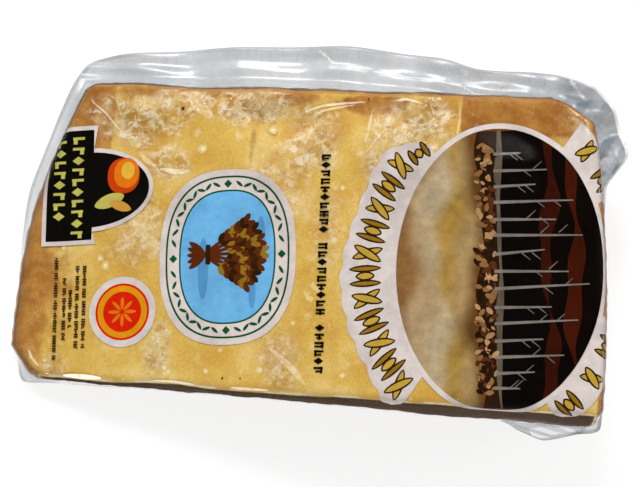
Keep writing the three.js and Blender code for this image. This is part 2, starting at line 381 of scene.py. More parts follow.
def chunk_skin(cells, depth, relief):
    """The chunk's skin, depth under the solid's own: points, places on a plain wedge, ways out and faces."""
    grid, quads = box_grid(cells)
    y = CUT_Y + line_at(grid[:, 1], cells[1], RIND_Y - CUT_Y)
    tip, heel = tip_at(y), heel_at(y)
    x = tip + line_at(grid[:, 0], cells[0], heel - tip)
    top = thickness_at(x)
    z = line_at(grid[:, 2], cells[2], top)
    square = np.stack([x, y, z], 1)
    low = np.stack([tip + EDGE_RADIUS, np.full_like(y, CUT_Y + EDGE_RADIUS), np.full_like(y, EDGE_RADIUS)], 1)
    high = np.stack([heel - EDGE_RADIUS, np.full_like(y, RIND_Y - EDGE_RADIUS), top - EDGE_RADIUS], 1)
    core = np.clip(square, low, high)
    out = square - core
    out /= np.linalg.norm(out, axis=1, keepdims=True)
    points = bend(core, out, EDGE_RADIUS - depth, x, y, z, relief)
    quads, rim = open_base(grid, quads, cells)
    used, quads = np.unique(quads, return_inverse=True)
    faces = [tuple(q) for q in quads.reshape(-1, 4).tolist()] + [tuple(np.searchsorted(used, rim).tolist())]
    return points[used], square[used], out[used], faces


def on_pouch(flat, depth):
    """Wraps flat points of the upper face's plane round its edges and down its walls, depth under the film.
    Past a right angle of the edge, they run on straight down the wall."""
    y = np.clip(flat[:, 1], CUT_Y + EDGE_RADIUS, RIND_Y - EDGE_RADIUS)
    x = np.clip(flat[:, 0], tip_at(y) + EDGE_RADIUS, heel_at(y) - EDGE_RADIUS)
    over = flat - np.stack([x, y], 1)
    far = np.linalg.norm(over, axis=1)
    way = over / np.maximum(far, 1e-9)[:, None]
    angle = np.minimum(far / EDGE_RADIUS, math.pi / 2)
    reach = EDGE_RADIUS * np.minimum(np.tan(np.minimum(angle, 1.5)), 1)
    square = np.stack([x, y], 1) + way * reach[:, None]
    top = thickness_at(square[:, 0])
    down = np.maximum(0, far - EDGE_RADIUS * math.pi / 2)
    core = np.stack([x, y, np.maximum(top - EDGE_RADIUS - down, EDGE_RADIUS)], 1)
    out = np.concatenate([way * np.sin(angle)[:, None], np.cos(angle)[:, None]], 1)
    z = core[:, 2] + out[:, 2] * EDGE_RADIUS
    return bend(core, out, EDGE_RADIUS - depth, square[:, 0], square[:, 1], z, FILM_RELIEF)


def add_object(name, data):
    made = bpy.data.objects.new(name, data)
    bpy.context.scene.collection.objects.link(made)
    return made


def make_piece(name, points, faces, slot, material, **shares):
    """A smooth mesh piece of the pack, with each named share kept as a number at every point."""
    mesh = bpy.data.meshes.new(name)
    mesh.from_pydata((np.asarray(points) * MM).tolist(), [], faces)
    mesh.polygons.foreach_set("use_smooth", np.ones(len(mesh.polygons), bool))
    for share, values in shares.items():
        colour = np.ndim(values) == 2
        layer = mesh.attributes.new(share, "FLOAT_COLOR" if colour else "FLOAT", "POINT")
        layer.data.foreach_set("color" if colour else "value", np.ravel(values).astype(np.float32))
    mesh.materials.append(material)
    mesh.update()
    piece = add_object(name, mesh)
    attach(piece, "root")
    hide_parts(NODE)
    return piece


# Materials

def linear(red, green, blue):
    """An sRGB colour, 0 to 255, as the linear values that shaders take."""
    parts = [c / 255 for c in (red, green, blue)]
    return tuple(c / 12.92 if c <= 0.04045 else ((c + 0.055) / 1.055) ** 2.4 for c in parts) + (1.0,)


def grey(value):
    return (value, value, value, 1.0)


# Where the mix node keeps its two colours and its result, among sockets of the same names for other kinds
MIX_COLOUR_A, MIX_COLOUR_B, MIX_COLOUR_RESULT = 6, 7, 2


class Shader:
    """A material's nodes, added one at a time."""

    def __init__(self, name):
        self.material = bpy.data.materials.new(name)
        self.material.use_nodes = True
        self.tree = self.material.node_tree
        self.tree.nodes.clear()
        self.place = self.add("ShaderNodeTexCoord").outputs["Object"]

    def add(self, kind, settings=None, **inputs):
        node = self.tree.nodes.new(kind)
        for key, value in (settings or {}).items():
            setattr(node, key, value)
        for key, value in inputs.items():
            self.plug(node.inputs[key.replace("_", " ")], value)
        return node

    def plug(self, socket, value):
        if isinstance(value, bpy.types.NodeSocket):
            self.tree.links.new(value, socket)
        else:
            socket.default_value = value

    def share(self, name, output="Fac"):
        return self.add("ShaderNodeAttribute", {"attribute_name": name}).outputs[output]

    def stretched(self, scale, shift=(0, 0, 0), turn=0.0):
        """Places for a texture that is stretched, shifted and turned about Z."""
        return self.add("ShaderNodeMapping", Vector=self.place, Scale=scale, Location=shift,
                        Rotation=(0, 0, turn)).outputs["Vector"]

    def noise(self, per_metre, detail=3.0, vector=None, roughness=0.5, distortion=0.0, output="Fac"):
        return self.add("ShaderNodeTexNoise", Vector=vector or self.place, Scale=per_metre, Detail=detail,
                        Roughness=roughness, Distortion=distortion).outputs[output]

    def cells(self, per_metre, vector=None, feature="F1"):
        """Cells about 1 / per_metre wide: a shade for each of them, and the distance from its middle."""
        node = self.add("ShaderNodeTexVoronoi", {"feature": feature}, Vector=vector or self.place,
                        Scale=per_metre)
        shade = self.add("ShaderNodeSeparateColor", Color=node.outputs["Color"]).outputs["Red"]
        return shade, node.outputs["Distance"]

    def ramp(self, value, *stops):
        """A colour ramp through stops of position and linear colour."""
        node = self.add("ShaderNodeValToRGB", Fac=value)
        elements = node.color_ramp.elements
        for k, (position, colour) in enumerate(stops):
            element = elements[k] if k < 2 else elements.new(position)
            element.position = position
            element.color = colour
        return node.outputs["Color"]

    def band(self, value, low, high):
        """0 below low and 1 above high, or the other way round where high is the lower."""
        node = self.add("ShaderNodeMapRange", {"interpolation_type": "SMOOTHSTEP"}, Value=value,
                        From_Min=min(low, high), From_Max=max(low, high),
                        To_Min=float(low > high), To_Max=float(low < high))
        return node.outputs["Result"]

    def math(self, operation, first, *others):
        """The first value put together with each other one in turn, or changed by itself if it is alone."""
        for other in others or (0.0,):
            node = self.add("ShaderNodeMath", {"operation": operation})
            self.plug(node.inputs[0], first)
            self.plug(node.inputs[1], other)
            first = node.outputs["Value"]
        return first

    def times(self, *factors):
        return self.math("MULTIPLY", *factors)

    def contour(self, value, level, width):
        """1 along the line where the value is at level, and 0 beyond width to each side of it."""
        return self.band(self.math("ABSOLUTE", self.math("SUBTRACT", value, level)), width, 0.0)

    def mix(self, share, a, b, strength=1.0, kind="MIX"):
        """Colour a, with b over it as strongly as the share times the strength."""
        if strength != 1.0:
            share = self.times(share, strength)
        node = self.add("ShaderNodeMix", {"data_type": "RGBA", "blend_type": kind})
        self.plug(node.inputs["Factor"], share)
        self.plug(node.inputs[MIX_COLOUR_A], a)
        self.plug(node.inputs[MIX_COLOUR_B], b)
        return node.outputs[MIX_COLOUR_RESULT]

    def blend(self, share, a, b):
        node = self.add("ShaderNodeMixShader", Fac=share)
        self.tree.links.new(a, node.inputs[1])
        self.tree.links.new(b, node.inputs[2])
        return node.outputs[0]

    def bump(self, height, distance, strength=1.0):
        node = self.add("ShaderNodeBump", Height=height, Distance=distance, Strength=strength)
        return node.outputs["Normal"]

    def finish(self, shader):
        output = self.add("ShaderNodeOutputMaterial")
        self.tree.links.new(shader, output.inputs["Surface"])
        return self.material


def paste_colour(s):
    """Pale yellow paste with cutting ribs and frosted spots, which turns to wax where it is amber."""
    cloud = s.noise(62, 4, roughness=0.55)
    paste = s.ramp(cloud, (0.32, linear(202, 158, 66)), (0.52, linear(214, 176, 85)),
                   (0.72, linear(228, 200, 126)))
    ribs = s.noise(60, 3, s.stretched((1.0, 0.1, 1.0)))
    paste = s.mix(s.band(ribs, 0.52, 0.7), paste, linear(202, 156, 78), 0.35)
    frost = s.noise(170, 3, s.stretched((1, 0.8, 1), (5, 2, 1)))
    paste = s.mix(s.band(frost, 0.58, 0.76), paste, linear(238, 220, 166), 0.45)
    wax = s.ramp(s.noise(110, 4, roughness=0.6), (0.35, linear(153, 95, 34)), (0.7, linear(192, 139, 67)))
    ragged = s.times(s.math("SUBTRACT", s.noise(150, 4), 0.5), 0.6)
    return s.mix(s.band(s.math("ADD", s.share("amber"), ragged), 0.1, 0.9), paste, wax)


def with_crumbs(s, body):
    """The colour with beige patches, dust, flakes, chips and curls on it where it is broken."""
    flat, slant = s.stretched((0.9, 1.1, 1.0)), s.stretched((0.75, 1.2, 1.0), turn=0.7)
    warped = s.mix(0.008, s.place, s.noise(180, 3, output="Color"), kind="ADD")
    flake, _ = s.cells(360, warped, "SMOOTH_F1")
    chip, from_middle = s.cells(620, warped)
    apart = s.band(from_middle, 0.5, 0.3)
    layers = [
        (s.band(s.noise(85, 3, s.stretched((1, 1, 1), (3, 1, 2))), 0.5, 0.64), (200, 152, 90), 0.6),
        (s.band(s.noise(100, 3, flat, 0.55), 0.42, 0.58), (236, 212, 156), 0.8),
        (s.band(flake, 0.5, 0.85), (244, 228, 182), 0.65), (s.band(flake, 0.45, 0.1), (196, 142, 78), 0.55),
        (s.times(s.band(chip, 0.74, 0.8), apart), (250, 240, 210), 0.75),
        (s.times(s.band(chip, 0.24, 0.18), apart), (176, 122, 62), 0.6),
    ]
    broken = s.band(s.noise(210, 2, s.stretched((1, 1, 1), (1, 4, 2))), 0.42, 0.56)
    for scale, place, level, width, colour, strength in (
            (90, slant, 0.5, 0.07, (250, 238, 206), 0.75), (170, flat, 0.53, 0.06, (250, 241, 214), 0.7),
            (120, flat, 0.4, 0.05, (170, 120, 64), 0.5)):
        curls = s.contour(s.noise(scale, 2, place, 0.5, 0.9), level, width)
        layers.append((s.times(curls, broken), colour, strength))
    crumb = s.share("crumb")
    for share, colour, strength in layers:
        body = s.mix(s.times(share, crumb), body, linear(*colour), strength)
    return body


def with_small_marks(s, body):
    """The colour with faint veins, a few white grains, painted shade in the bottoms of pits, and a fine grain
    over it all.
    """
    veins = s.contour(s.noise(120, 3, None, 0.5, 0.8), 0.5, 0.012)
    body = s.mix(veins, body, linear(236, 218, 166), 0.15)
    shade, from_middle = s.cells(210)
    grains = s.times(s.band(from_middle, 0.3, 0.1), s.band(shade, 0.9, 0.93))
    body = s.mix(grains, body, linear(240, 226, 186), 0.7)
    # Painted shade: the bottoms of pits are coloured a darker orange.
    body = s.mix(s.share("pit"), body, linear(212, 148, 74), 0.75)
    return s.mix(1.0, body, s.ramp(s.noise(1300, 2), (0.3, grey(0.88)), (0.7, grey(1.06))), kind="MULTIPLY")


def with_skins(s, body):
    """The colour with the rind, the saw cut painted dark brown as painted shade and darker still at its top
    as painted shade under the overhanging edge, and the pale ragged rim between face and saw cut, partly a
    painted highlight, over it.
    """
    crust = s.ramp(s.noise(260, 8, roughness=0.7), (0.3, linear(140, 90, 42)), (0.7, linear(206, 156, 90)))
    body = s.mix(s.share("rind"), body, crust)
    # Partly a painted highlight: a pale ragged line along the edge between face and saw cut.
    rim = s.times(s.share("rim"), s.band(s.noise(130, 4), 0.38, 0.6))
    body = s.mix(rim, body, linear(240, 226, 188), 0.85)
    # Painted shade: the saw cut is coloured dark brown for the shade it lies in, and darker towards its top
    # for the shade under the overhanging edge.
    streaks = s.noise(70, 5, s.stretched((0.5, 1.0, 1.6)), 0.6)
    sawn = s.ramp(streaks, (0.3, linear(52, 29, 12)), (0.7, linear(82, 49, 20)))
    sawn = s.mix(s.share("overhung"), sawn, linear(44, 24, 12), 0.85)
    return s.mix(s.share("shade"), body, sawn, 0.97)


def cheese_material():
    s = Shader("cheese")
    body = with_skins(s, with_small_marks(s, with_crumbs(s, paste_colour(s))))
    relief = s.math("ADD", s.times(s.noise(420, 5, roughness=0.65), 0.3),
                    s.times(s.noise(330, 5), s.share("crumb"), 0.7))
    rough = s.math("ADD", s.times(s.share("shade"), 0.45), 0.55)
    shader = s.add("ShaderNodeBsdfPrincipled", Base_Color=body, Roughness=rough,
                   Normal=s.bump(relief, 0.0004, 0.5), Specular_IOR_Level=0.1, Subsurface_Weight=0.1,
                   Subsurface_Radius=(0.004, 0.0025, 0.001), Subsurface_Scale=0.4)
    return s.finish(shader.outputs["BSDF"])


def film_material():
    """Clear film. It shines by its share of shine, and turns cloudy, then white, with haze; the white draws
    the margin's painted highlight streaks. It turns dark on some facets of a crumpled corner, as painted
    shade.
    """
    s = Shader("film")
    haze = s.share("haze")
    scratches = s.noise(90, 5, s.stretched((1.0, 0.4, 1.0)), 0.6)
    relief = s.math("ADD", s.times(s.noise(160, 4), 0.5), s.times(scratches, 0.5),
                    s.times(s.noise(420, 4), s.share("crumb"), 0.8))
    normal = s.bump(relief, 0.0006, 0.45)
    tint = s.mix(s.band(haze, 0.0, 0.5), linear(252, 252, 253), linear(226, 228, 230))
    clear = s.add("ShaderNodeBsdfTransparent", Color=tint).outputs["BSDF"]
    blurred = s.math("ADD", s.times(haze, 0.42), 0.06)
    gloss = s.add("ShaderNodeBsdfGlossy", Color=grey(1.0), Roughness=blurred, Normal=normal)
    # Painted shade: the cloudy film is darker on some facets of the crumpled corner.
    cloud = s.mix(s.share("dim"), linear(194, 195, 196), linear(112, 126, 140))
    cloud = s.mix(s.band(haze, 0.75, 1.0), cloud, linear(252, 252, 252))
    milk = s.add("ShaderNodeBsdfPrincipled", Base_Color=cloud, Roughness=0.35, Normal=normal).outputs["BSDF"]
    shine = s.times(s.add("ShaderNodeFresnel", IOR=1.45, Normal=normal).outputs["Fac"], s.share("shine"))
    cloudy = s.times(haze, s.band(scratches, 0.1, 0.75))
    return s.finish(s.blend(cloudy, s.blend(shine, clear, gloss.outputs["BSDF"]), milk))


def ink_material(name, patchy):
    """Opaque colour kept at each point, with darker grains and clouds in it by the share patchy."""
    s = Shader(name)
    grains = s.ramp(s.noise(330, 5, roughness=0.7), (0.3, grey(1 - 0.6 * patchy)), (0.7, grey(1.0)))
    clouds = s.ramp(s.noise(95, 5), (0.32, grey(1 - 0.55 * patchy)), (0.6, grey(1.0)))
    colour = s.share("ink", "Color")
    for shade in (grains, clouds):
        colour = s.mix(1.0, colour, shade, kind="MULTIPLY")
    shader = s.add("ShaderNodeBsdfPrincipled", Base_Color=colour, Roughness=0.7, Specular_IOR_Level=0.0)
    return s.finish(shader.outputs["BSDF"])


def glowing_crease_material():
    """Pale, half-clear lines, as strong as their haze, which glow a little as painted highlights."""
    s = Shader("crease")
    clear = s.add("ShaderNodeBsdfTransparent").outputs["BSDF"]
    colour = linear(253, 246, 226)
    # Painted highlight: the pale colour also glows.
    pale = s.add("ShaderNodeBsdfPrincipled", Base_Color=colour, Roughness=0.4, Emission_Color=colour,
                 Emission_Strength=0.35).outputs["BSDF"]
    return s.finish(s.blend(s.times(s.share("haze"), s.band(s.noise(260, 3), 0.2, 0.5)), clear, pale))


def floor_material():
    """A pale floor that glows a little, to stand for a white background."""
    s = Shader("floor")
    tone = s.ramp(s.noise(3, 2), (0.3, linear(148, 148, 148)), (0.7, linear(152, 152, 152)))
    shader = s.add("ShaderNodeBsdfPrincipled", Base_Color=tone, Roughness=0.9, Emission_Color=grey(1.0),
                   Emission_Strength=0.76)
    return s.finish(shader.outputs["BSDF"])


# The cheese

def make_cheese():
    """The wedge itself, under the film, with a rough rind and saw cut."""
    points, square, out, faces = chunk_skin(CHEESE_CELLS, CHEESE_DEPTH, CHEESE_RELIEF)
    x, y, z = square.T
    rough = 0.35 * lumps(x + y, z, 7, 41.0) + 0.18 * noise_at(x + y, z, 2.2, 42.0)
    rind = np.maximum(out[:, 1], smoothstep(out[:, 0], 0.2, 0.8) * (x > 0))
    inward = np.clip(rough, -1, 0.25) * np.clip(1 - out[:, 2] * 1.5, 0, 1)
    points = points + out * inward[:, None]
    points[:, 2] = np.maximum(points[:, 2], BASE_DEPTH)
    up = np.clip(out[:, 2], 0, 1) ** 2
    crumb = sample(CRUMB, x, y) * up
    # Painted shade: how deep each place lies under the film's bridge over a pit.
    pit = smoothstep(sample(FILM_RELIEF - CHEESE_RELIEF, x, y), 1.0, 2.2) * up
    round_edge = smoothstep(out[:, 2], -0.3, 0.35)
    # The tip's wall is coloured amber, partly as painted shade where it faces away.
    at_tip = 0.8 * smoothstep(-out[:, 0], 0.2, 0.7)
    amber = np.maximum.reduce([sample(AMBER_SHARE, x, y) * round_edge, 0.5 * np.clip(rind, 0, 1), at_tip])
    sawn = -out[:, 1]
    rim = smoothstep(sawn, 0.66, 0.8) * smoothstep(-sawn, -0.97, -0.92)
    # The shade and overhang shares say where shade is painted on the saw cut; the rim share is a partly
    # painted highlight along its edge.
    return make_piece("cheese_chunk", points, faces, "wrapped_cheese", cheese_material(), crumb=crumb,
                      amber=amber, pit=pit, rim=rim, rind=smoothstep(rind, 0.3, 0.9),
                      shade=smoothstep(sawn, 0.9, 0.98), overhung=smoothstep(z / thickness_at(x), 0.35, 0.9))


# Paths

def run_along(path):
    """How far along the path each of its points lies."""
    return np.concatenate([[0], np.cumsum(np.linalg.norm(np.diff(path, axis=0), axis=1))])


def points_at(path, run, places):
    """The path's points at the places, where run says how far along it each of its own points lies."""
    return np.stack([np.interp(places, run, side) for side in path.T], -1)


def spread(corners, count):
    """Count points along a line through the corners, as many between any two of them."""
    path = np.array(corners, float)
    return points_at(path, np.arange(len(path)), np.linspace(0, len(path) - 1, count))


def eased(path):
    """The path with its inner points drawn towards their neighbours."""
    path[1:-1] = (path[:-2] + 2 * path[1:-1] + path[2:]) / 4
    return path


# The pouch

def closed_spline(corners, tension, count):
    """Evenly spaced points along a closed curve through the corners, and its length."""
    p = np.array(corners, float)
    before, after, later = np.roll(p, 1, 0), np.roll(p, -1, 0), np.roll(p, -2, 0)
    t = np.linspace(0, 1, 60, endpoint=False)[None, :, None]
    start, end = tension * (after - before), tension * (later - p)
    curve = ((2 * t**3 - 3 * t**2 + 1) * p[:, None] + (t**3 - 2 * t**2 + t) * start[:, None]
             + (3 * t**2 - 2 * t**3) * after[:, None] + (t**3 - t**2) * end[:, None]).reshape(-1, 2)
    curve = np.concatenate([curve, curve[:1]])
    run = run_along(curve)
    return points_at(curve, run, np.linspace(0, run[-1], count, endpoint=False)), run[-1]


def wall_shares(outline):
    """For each outline point, the share of its distance from the middle at which the chunk's wall stands."""
    low, high = np.full(len(outline), 0.5), np.ones(len(outline))
    for _ in range(24):
        share = (low + high) / 2
        x, y = outline[:, 0] * share, outline[:, 1] * share
        safe_y = np.clip(y, CUT_Y, RIND_Y)
        inside = (y > CUT_Y) & (y < RIND_Y) & (x > tip_at(safe_y)) & (x < heel_at(safe_y))
        low, high = np.where(inside, share, low), np.where(inside, high, share)
    return low


def corner_distance(x, y):
    """Distance from each place to the nearest puckered corner."""
    return np.minimum.reduce([np.hypot(x - cx, y - cy) for cx, cy in PUCKERED_CORNERS])


def crumpled(x, y):
    """A crumpled sheet's height, flat between sharp creases, and a share that differs by facet, which sets
    where painted shade darkens the margin's film.
    """
    height, own = 0.0, 0.0
    for turn, width, depth in CRUMPLES:
        across = (x * math.cos(math.radians(turn)) + y * math.sin(math.radians(turn))) / width
        across = across + 0.35 * noise_at(x, y, 30, turn)
        height = height + depth * (4 * np.abs(across % 1 - 0.5) - 1)
        own = own + (across % 1 < 0.5) / len(CRUMPLES)
    return height, own


def margin_height(x, y, turn, out):
    """The margin's height in the solid: half way up the chunk, with ripples and puckers as strong as out."""
    seam = thickness_at(np.clip(x, TIP_X, HEEL_X)) / 2
    pucker = PUCKER_HEIGHT * (1 - smoothstep(corner_distance(x, y), 0, PUCKER_REACH))
    pucker = pucker * np.sin(PUCKER_WAVES * turn)
    ripple = RIPPLE_HEIGHT * np.sin(RIPPLE_WAVES * turn + RIPPLE_DRIFT * np.sin(RIPPLE_DRIFTS * turn))
    return seam + out * (ripple + pucker)


def near_line(x, y, corners):
    """Distance from each point to a line through the corners."""
    far = np.full(np.shape(x), 1e9)
    for (ax, ay), (bx, by) in zip(corners, corners[1:]):
        dx, dy = bx - ax, by - ay
        t = np.clip(((x - ax) * dx + (y - ay) * dy) / (dx * dx + dy * dy), 0, 1)
        far = np.minimum(far, np.hypot(x - ax - t * dx, y - ay - t * dy))
    return far


def margin_highlight_streaks(x, y):
    """How strongly the pale streaks show at each place: painted highlights along the margin's folds."""
    shown = np.zeros(np.shape(x))
    for corners, half, strength in MARGIN_HIGHLIGHT_STREAKS:
        shown = np.maximum(shown, strength * (1 - smoothstep(near_line(x, y, corners), half * 0.4, half)))
    return shown


def ring_faces(stations, ring):
    """The quads of a closed ring of stations, each a loop of points."""
    here = np.arange(stations)[:, None] * ring + np.arange(ring)[None, :]
    beside = np.roll(here, -1, 1)
    quads = np.stack([here, beside, np.roll(beside, -1, 0), np.roll(here, -1, 0)], -1)
    return [tuple(quad) for quad in quads.reshape(-1, 4).tolist()]


def make_margin(material):
    """The pouch's seam margin: two films that part into a tent where they meet the chunk's walls. Its grid
    has a column for each station round it, and rows out along the upper film and back along the lower."""
    outline, around = closed_spline(MARGIN_OUTLINE, MARGIN_TENSION, MARGIN_STATIONS)
    walls = wall_shares(outline)
    size = np.linalg.norm(outline, axis=1)
    width = np.maximum((1 - walls) * size, 0.5)
    round_it = np.arange(MARGIN_STATIONS) / MARGIN_STATIONS
    run = round_it * around
    steps = np.linspace(0, 1, MARGIN_ROWS)[:, None]
    side = np.repeat([1, -1], MARGIN_ROWS)[:, None]
    inner = walls - 2.0 / size
    share = inner + (1 - inner) * np.concatenate([steps, steps[::-1]])
    x, y = outline[:, 0] * share, outline[:, 1] * share
    from_wall = (share - walls) * size

    room = np.maximum(thickness_at(np.clip(x, TIP_X, HEEL_X)) / 2 - EDGE_RADIUS, 0.5)
    tent = np.minimum(TENT_HEIGHT, 0.55 * room) * np.minimum(width / 12, 1)
    gap = tent * (1 - np.clip(from_wall / np.minimum(TENT_REACH, width), 0, 1)) ** 2
    ridge, own = crumpled(x, y)
    crease = ridge * (0.06 + 0.94 * (1 - smoothstep(corner_distance(x, y), *CRUMPLED_REACH)))
    fold = FOLD_HEIGHT * np.sin(from_wall * 0.75 + 2.5 * noise_at(run, 0, 34, 53.0))
    loose = smoothstep(from_wall / width, 0.05, 0.5) * (crease + fold - 0.5)
    height = margin_height(x, y, round_it * 2 * math.pi, smoothstep(share, MARGIN_INNER_SHARE, 1))
    z = np.maximum(height + side * (gap + FILM_HALF_GAP) + loose, 0.1)

    at_corner = 1 - smoothstep(corner_distance(x, y), *CORNER_REACH)
    sealed = 0.35 * smoothstep(share * size, size - SEALED_WIDTH, size - 0.6)
    cloud = 0.34 + np.where(y < 0, -0.18, 0.36) * at_corner + sealed
    cloud = (cloud + 0.16 * noise_at(run, from_wall * 1.6, 22, 54.0)) * smoothstep(width, 1, 7)
    shares = {
        # The upper film's haze also draws the painted highlight streaks.
        "haze": np.maximum(cloud, margin_highlight_streaks(x, y) * (side > 0)),
        # Painted shade on some facets of the upper crumpled corner.
        "dim": own * np.sqrt(at_corner) * (y > 0),
        "shine": np.clip((width - 1.5) / 3, 0.05, 0.8) * (1 - 0.6 * at_corner * (y < 0)),
        "crumb": np.zeros(x.shape),
    }
    points = np.stack([x.T, y.T, z.T], -1).reshape(-1, 3)
    return make_piece("pouch_margin", points, ring_faces(MARGIN_STATIONS, 2 * MARGIN_ROWS), "film", material,
                      **{name: values.T.ravel() for name, values in shares.items()})


def make_wrap(material):
    """The film drawn tight on the chunk."""
    points, square, out, faces = chunk_skin(FILM_CELLS, 0.0, FILM_RELIEF)
    x, y, z = square.T
    on_wall = np.clip(1 - out[:, 2], 0, 1)
    folds = 0.45 * noise_at(x + y, z * 0.25, 3.5, 61.0) * on_wall
    points = points + out * folds[:, None]
    points[:, 2] = np.maximum(points[:, 2], 0)
    sawn = smoothstep(-out[:, 1], 0.75, 0.95)
    crumb = sample(CRUMB, x, y) * (1 - on_wall)
    shine = (0.03 + 0.8 * crumb + 0.9 * on_wall) * (1 - 0.96 * sawn)
    return make_piece("pouch_wrap", points, faces, "film", material, haze=0.08 * on_wall * (1 - sawn),
                      crumb=crumb, dim=np.zeros(len(points)), shine=shine)


def ribbon(corners, half):
    """The outline of a narrow strip that tapers to both ends and follows the corners."""
    path = eased(spread(corners, RIBBON_POINTS))
    way = np.gradient(path, axis=0)
    across = np.stack([-way[:, 1], way[:, 0]], 1) / np.linalg.norm(way, axis=1, keepdims=True)
    across *= half * (np.sin(np.linspace(0.15, math.pi - 0.15, RIBBON_POINTS)) ** 0.7)[:, None]
    return np.concatenate([path + across, (path - across)[::-1]])


def make_creases(material):
    """Pale creases in the film over the face, which glow as painted highlights, and painted highlight lines
    along its lower edge.
    """
    points, faces, hazes = [], [], []
    for corners, half, strength in FACE_CREASES_AND_HIGHLIGHTS:
        outline = ribbon(corners, half)
        start, count = len(hazes), len(outline)
        points.append(on_pouch(outline, -0.02))
        faces.extend((start + k, start + k + 1, start + count - 2 - k, start + count - 1 - k)
                     for k in range(count // 2 - 1))
        hazes.extend([strength] * count)
    return make_piece("pouch_creases_and_highlights", np.concatenate(points), faces, "film", material,
                      haze=np.array(hazes))


# The print. Each design is drawn flat, in millimetres from its own middle, with its right towards the heel

PRINT_TURN = math.radians(5.5)
CREAM = linear(222, 210, 203)
BLACK = linear(14, 13, 10)
OLIVE = linear(196, 188, 92)
ORANGE = linear(230, 120, 22)
DEEP_ORANGE = linear(200, 66, 12)
YELLOW = linear(232, 184, 62)
RED = linear(222, 34, 10)
SEAL_ORANGE = linear(228, 152, 20)
GREEN = linear(20, 82, 40)
SKY = linear(112, 182, 228)
SKY_SHADE = linear(88, 154, 202)
BROWN = linear(94, 42, 14)
GOLD = linear(150, 114, 32)
GOLD_LIGHT = linear(196, 160, 62)
INK_BROWN = linear(52, 30, 12)


def ellipse(cx, cy, half_width, half_height, power=2.0, steps=96, start=0.0, end=360.0):
    """Points round an oval, which grows squarer as power rises."""
    turn = np.radians(np.linspace(start, end, steps, endpoint=end - start < 360))
    c, s = np.cos(turn), np.sin(turn)
    shape = 2.0 / power
    return np.stack([cx + half_width * np.sign(c) * np.abs(c) ** shape,
                     cy + half_height * np.sign(s) * np.abs(s) ** shape], 1)


def turned(outline, turn, x, y):
    """The outline turned about its own origin, in radians, and then moved by x and y."""
    c, s = math.cos(turn), math.sin(turn)
    return np.asarray(outline) @ np.array([(c, s), (-s, c)]) + (x, y)


def bar(cx, cy, width, height):
    return np.array([(-1, -1), (1, -1), (1, 1), (-1, 1)]) * (width / 2, height / 2) + (cx, cy)


def leaf(cx, cy, length, width, turn):
    """A pointed leaf whose middle is at cx, cy and which points along turn, in radians."""
    t = np.linspace(0, math.pi, 12)
    upper = np.stack([-np.cos(t) * length / 2, np.sin(t) ** 1.3 * width / 2], 1)
    return turned(np.concatenate([upper, upper[-2:0:-1] * (1, -1)])[::-1], turn, cx, cy)


def diamond(cx, cy, width, height):
    return np.array([(-1, 0), (0, -1), (1, 0), (0, 1)]) * (width / 2, height / 2) + (cx, cy)


def dense(outline, spacing):
    """The outline with points added so that none are further apart than spacing."""
    points = []
    for a, b in zip(outline, np.roll(outline, -1, 0)):
        count = max(1, math.ceil(np.linalg.norm(b - a) / spacing))
        points.extend(a + (b - a) * k / count for k in range(count))
    return np.array(points)


def inside(outline, points):
    """Which of the points lie inside the outline."""
    a, b = outline, np.roll(outline, -1, 0)
    x, y = points[:, 0, None], points[:, 1, None]
    crosses = (a[:, 1] > y) != (b[:, 1] > y)
    rise = np.where(b[:, 1] == a[:, 1], 1, b[:, 1] - a[:, 1])
    return (crosses & (x < (b[:, 0] - a[:, 0]) * (y - a[:, 1]) / rise + a[:, 0])).sum(1) % 2 == 1


def fill(outline, spacing):
    """A flat mesh over the outline, fine enough to follow the pouch."""
    rim = dense(outline, spacing)
    low, high = rim.min(0), rim.max(0)
    lines = [np.arange(a + spacing / 2, b, spacing) for a, b in zip(low, high)]
    inner = np.stack(np.meshgrid(*lines), -1).reshape(-1, 2)
    inner = inner[inside(rim, inner)]
    from_rim = np.linalg.norm(inner[:, None] - rim[None], axis=2).min(1)
    inner = inner[from_rim > spacing * 0.45]
    points = [Vector(p) for p in np.concatenate([rim, inner])]
    made = geometry.delaunay_2d_cdt(points, [], [list(range(len(rim)))], 1, 1e-5)
    return np.array([tuple(p) for p in made[0]]), made[2]


class Sheet:
    """Print that is built up of inks, one over another, round one middle on the upper face."""

    def __init__(self, name, x, y, turn=PRINT_TURN, spacing=1.3):
        self.name, self.x, self.y, self.turn, self.spacing = name, x, y, turn, spacing
        self.points, self.depths, self.faces, self.inks = [], [], [], []
        self.count = 0

    def ink(self, outline, colour, layer):
        """Adds an outline in one colour, or in one worked out at each point."""
        flat, faces = fill(np.asarray(outline, float), self.spacing)
        self.add(flat, faces, colour(flat) if callable(colour) else colour, layer)

    def mark(self, outline, colour, layer):
        """Adds a small convex outline in one colour, as one face."""
        self.add(outline, [range(len(outline))], colour, layer)

    def add(self, flat, faces, colour, layer):
        self.points.append(turned(flat, self.turn, 0, 0))
        self.depths.append(np.full(len(flat), PRINT_DEPTH - layer * INK_STEP))
        self.faces.extend([tuple(k + self.count for k in f) for f in faces])
        self.inks.append(np.broadcast_to(colour, (len(flat), 4)))
        self.count += len(flat)

    def own(self, x, y):
        """A place on the upper face, in the sheet's own directions."""
        return turned([((x - self.x) / math.cos(TAPER), y - self.y)], -self.turn, 0, 0)[0]

    def make(self, material, slot="print"):
        flat = np.concatenate(self.points) * (math.cos(TAPER), 1) + (self.x, self.y)
        points = on_pouch(flat, np.concatenate(self.depths))
        return make_piece(self.name, points, self.faces, slot, material, ink=np.concatenate(self.inks))


def tag_outline(grow):
    """The tip label's outline: a tall box with a wide bow at its right."""
    bow = ellipse(-3, -2, 23.5 + grow, 14 + grow, steps=40, start=-86, end=86)
    right, left, half = -1.5 + grow, -19.5 - grow, 20.5 + grow
    return np.concatenate([bow, [(right, half), (left, half), (left, -half), (right, -half)]])


